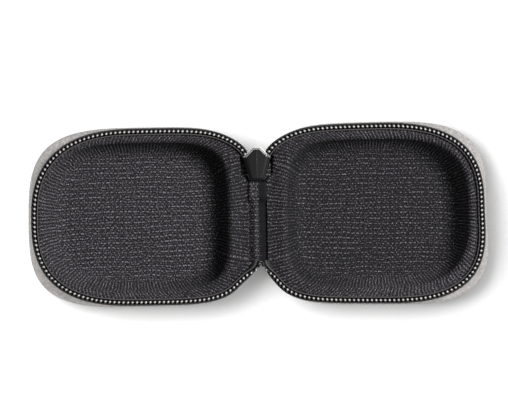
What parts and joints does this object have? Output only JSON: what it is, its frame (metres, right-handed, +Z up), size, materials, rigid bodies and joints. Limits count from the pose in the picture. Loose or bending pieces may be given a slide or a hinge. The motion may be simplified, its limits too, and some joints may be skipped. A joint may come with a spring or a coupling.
{
  "type": "zippered earbuds case",
  "caption": "Zippered hard case for wireless earbuds, open like a book: two fabric-covered moulded shells with knit-lined recesses, a fabric spine, a coil zip, slider and pull.",
  "frame": {"origin": "on the surface that the open case lies on, under the middle of the spine", "axes": "+X from the spine to the base half, +Y along the spine to the slider's end, +Z up out of the recesses"},
  "size_m": [0.1712, 0.067, 0.0177],
  "materials": {
    "shell_fabric": "woven heather grey fabric laminated to the shell",
    "eva_foam": "moulded closed-cell foam, matte",
    "knit_lining": "ribbed charcoal knit, slightly fuzzy",
    "zip_tape": "tight black woven tape",
    "zip_coil": "black extruded monofilament, satin",
    "thread": "twisted black polyester thread",
    "slider_metal": "black paint over cast metal, worn bright on its edges"
  },
  "bodies": {
    "base": {"base_outer_skin": "shell_fabric", "base_foam_core": "eva_foam", "base_lining": "knit_lining", "base_zip_tape": "zip_tape", "base_zip_coil": "zip_coil", "base_zip_cord": "thread", "base_chain_stop": "zip_coil", "base_rim_stitching": "thread"},
    "lid": {"lid_outer_skin": "shell_fabric", "lid_foam_core": "eva_foam", "lid_lining": "knit_lining", "lid_zip_tape": "zip_tape", "lid_zip_coil": "zip_coil", "lid_zip_cord": "thread", "lid_chain_stop": "zip_coil", "lid_rim_stitching": "thread"},
    "spine": {"spine_inner_strip": "knit_lining", "spine_outer_strip": "shell_fabric", "spine_filler": "eva_foam", "spine_stitching": "thread", "joined_chain": "zip_coil", "chain_bottom_stop": "slider_metal", "slider_body": "slider_metal"},
    "pull": {"pull_tab": "slider_metal"}
  },
  "joints": [
    {"name": "spine_fold", "type": "hinge", "parent": "base", "child": "spine", "pos_m": [0.00355, 0, 0.01425], "axis": [0, 1, 0], "range_deg": [0, 90]},
    {"name": "lid_fold", "type": "hinge", "parent": "spine", "child": "lid", "pos_m": [-0.00355, 0, 0.01425], "axis": [0, 1, 0], "range_deg": [0, 90]},
    {"name": "pull_pivot", "type": "hinge", "parent": "spine", "child": "pull", "pos_m": [0, 0.019, 0.0112], "axis": [1, 0, 0], "range_deg": [-28, 148]}
  ],
  "couplings": [
    {"joint": "lid_fold", "follows": "spine_fold", "ratio": 1}
  ]
}
